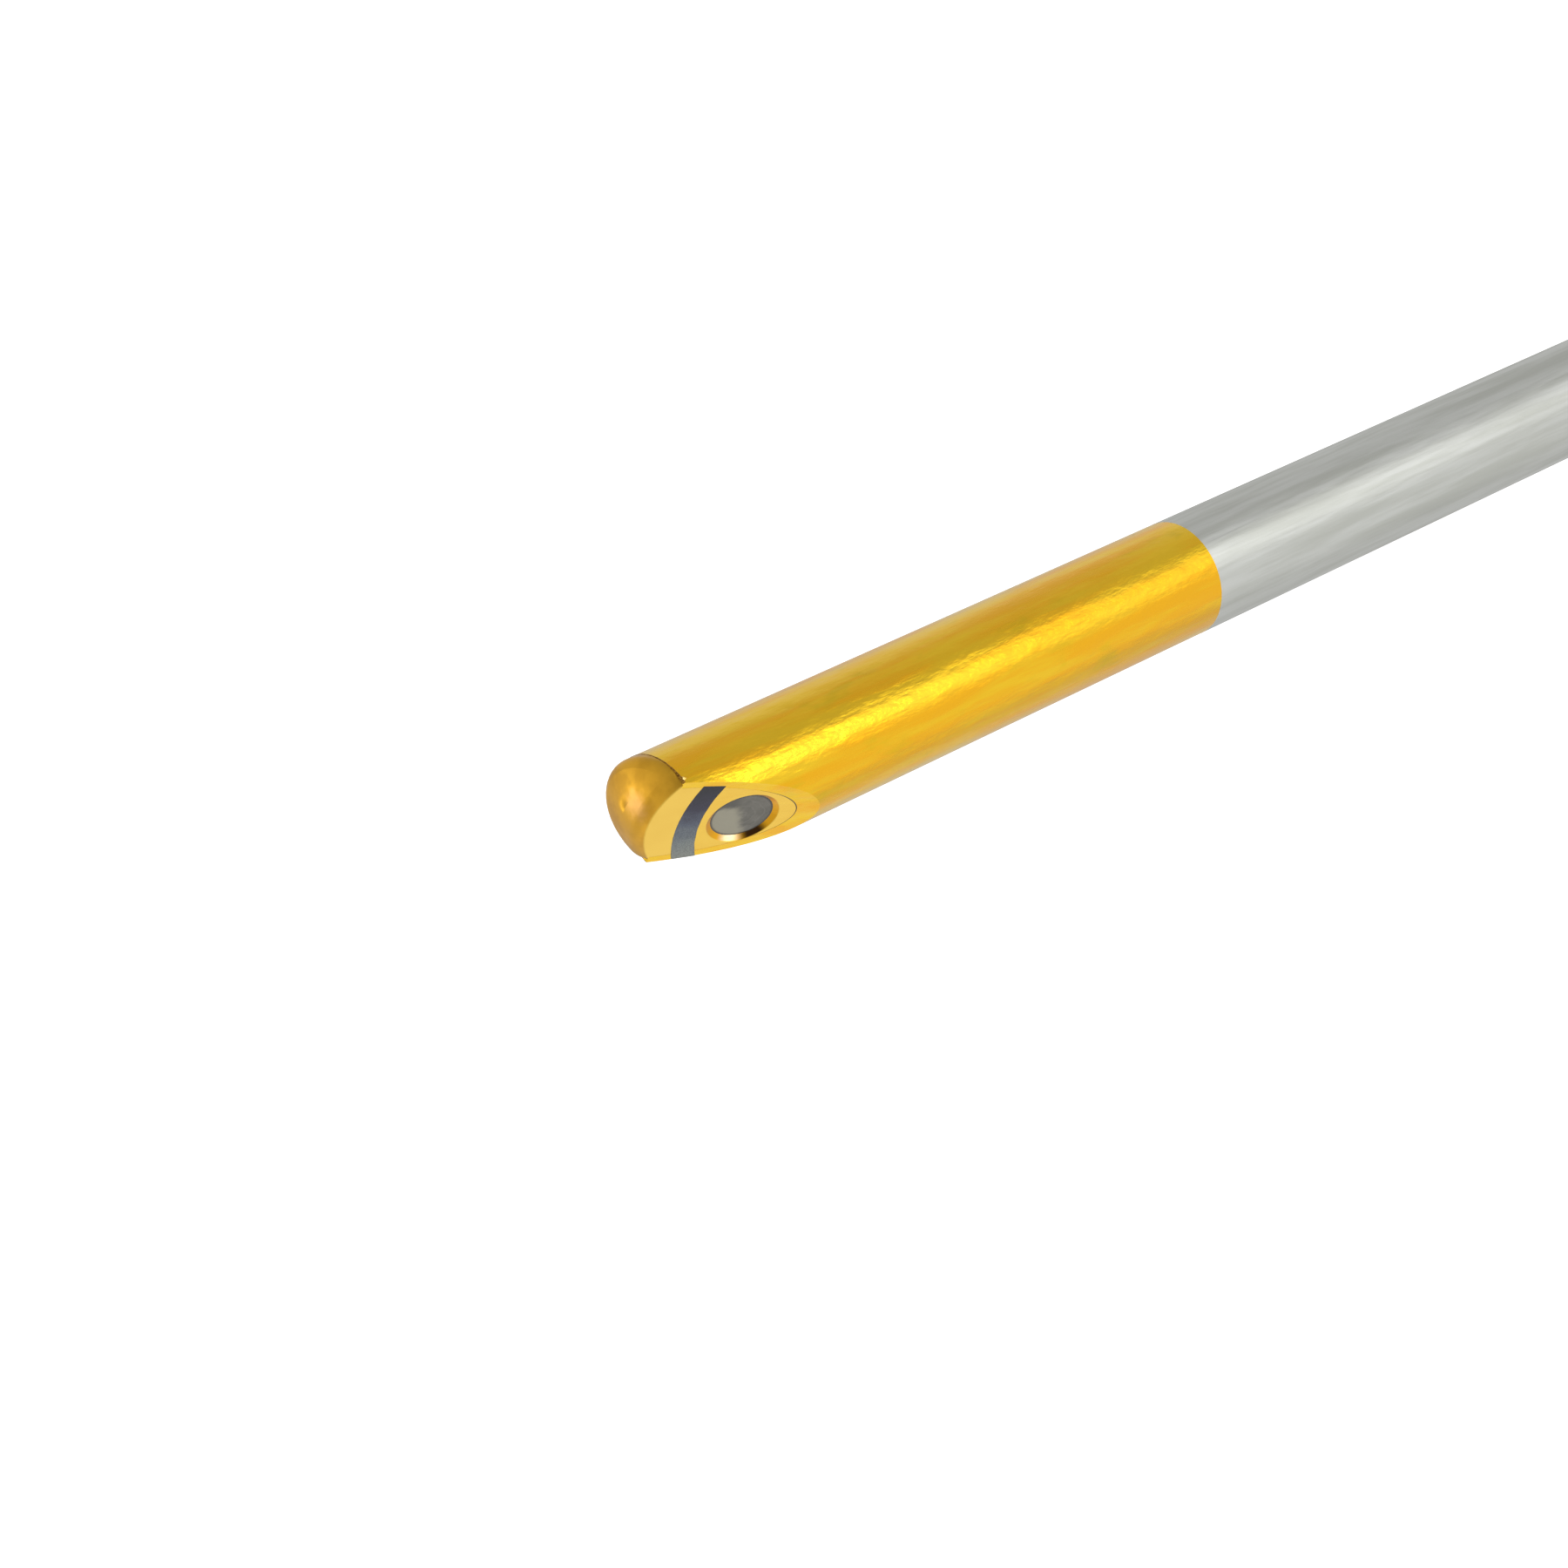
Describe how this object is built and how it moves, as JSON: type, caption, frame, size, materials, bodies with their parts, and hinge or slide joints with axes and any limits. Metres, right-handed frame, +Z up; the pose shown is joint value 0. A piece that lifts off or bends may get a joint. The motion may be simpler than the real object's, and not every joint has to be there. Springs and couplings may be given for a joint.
{
  "type": "rigid angled endoscope",
  "caption": "Slim rigid rod-lens telescope with a domed gold tip, inclined viewing window, fibre light post with screw-on adapters and a round eyepiece.",
  "frame": {"origin": "centre of the eyepiece's rear face, on the optical axis", "axes": "+X along the optical axis towards the observer, so the shaft and tip lie towards -X; +Y along the light post; +Z up; the inclined face at the tip looks towards -Y"},
  "size_m": [0.241, 0.0443, 0.0318],
  "materials": {
    "tip_gold": "gold plated, satin polished, fine lengthwise polishing marks",
    "optical_glass": "polished optical glass",
    "glass_fibre": "bonded glass fibres, ends ground and polished",
    "shaft_steel": "stainless steel tube, fine satin",
    "inner_steel": "stainless steel, turned",
    "body_steel": "stainless steel, matte bead-blasted",
    "adapter_steel": "stainless steel, turned and knurled",
    "seal_rubber": "black elastomer",
    "ring_enamel": "yellow enamel colour code",
    "screw_steel": "stainless steel grub screw",
    "eyepiece_polymer": "black high-temperature polymer",
    "black_spacer": "black anodised, ribbed against stray light",
    "spring_steel": "stainless spring wire"
  },
  "bodies": {
    "telescope": {"tip_nose": "tip_gold", "tip_sleeve": "tip_gold", "window_block": "tip_gold", "tip_window": "optical_glass", "negative_lens": "optical_glass", "deflecting_prism": "optical_glass", "objective_doublet": "optical_glass", "relay_rods": "optical_glass", "ocular_lenses": "optical_glass", "eyepiece_window": "optical_glass", "light_fibres": "glass_fibre", "shaft_tube": "shaft_steel", "train_tube": "inner_steel", "shaft_ferrule": "body_steel", "light_hub": "body_steel", "light_post": "body_steel", "fibre_ferrule": "inner_steel", "body_seals": "seal_rubber", "train_bush": "inner_steel", "body_shell": "body_steel", "view_angle_ring": "ring_enamel", "eyepiece_ring": "body_steel", "eyepiece_screws": "screw_steel", "eyepiece_cup": "eyepiece_polymer", "rod_spacers": "black_spacer", "preload_spring": "spring_steel", "spring_stop_ring": "inner_steel", "ocular_tube": "black_spacer", "field_stop": "black_spacer", "lens_spacers": "black_spacer", "ocular_lock_ring": "black_spacer", "window_ring": "inner_steel"},
    "inner_seal": {"inner_adapter_seal": "seal_rubber"},
    "inner_adapter": {"inner_adapter": "adapter_steel"},
    "outer_seal": {"outer_adapter_seal": "seal_rubber"},
    "outer_adapter": {"outer_adapter": "adapter_steel"}
  },
  "joints": [
    {"name": "inner_adapter_advance", "type": "slide", "parent": "telescope", "child": "inner_seal", "axis": [0, 1, 0], "range_m": [0, 0.003]},
    {"name": "inner_adapter_turn", "type": "hinge", "parent": "inner_seal", "child": "inner_adapter", "pos_m": [-0.051, 0.0185, 0], "axis": [0, 1, 0], "range_deg": [0, 1440]},
    {"name": "outer_adapter_advance", "type": "slide", "parent": "inner_adapter", "child": "outer_seal", "axis": [0, 1, 0], "range_m": [0, 0.003]},
    {"name": "outer_adapter_turn", "type": "hinge", "parent": "outer_seal", "child": "outer_adapter", "pos_m": [-0.051, 0.0185, 0], "axis": [0, 1, 0], "range_deg": [0, 1440]}
  ],
  "couplings": [
    {"joint": "inner_adapter_turn", "follows": "inner_adapter_advance", "rad_per_m": 8377.6},
    {"joint": "outer_adapter_turn", "follows": "outer_adapter_advance", "rad_per_m": 8377.6}
  ]
}
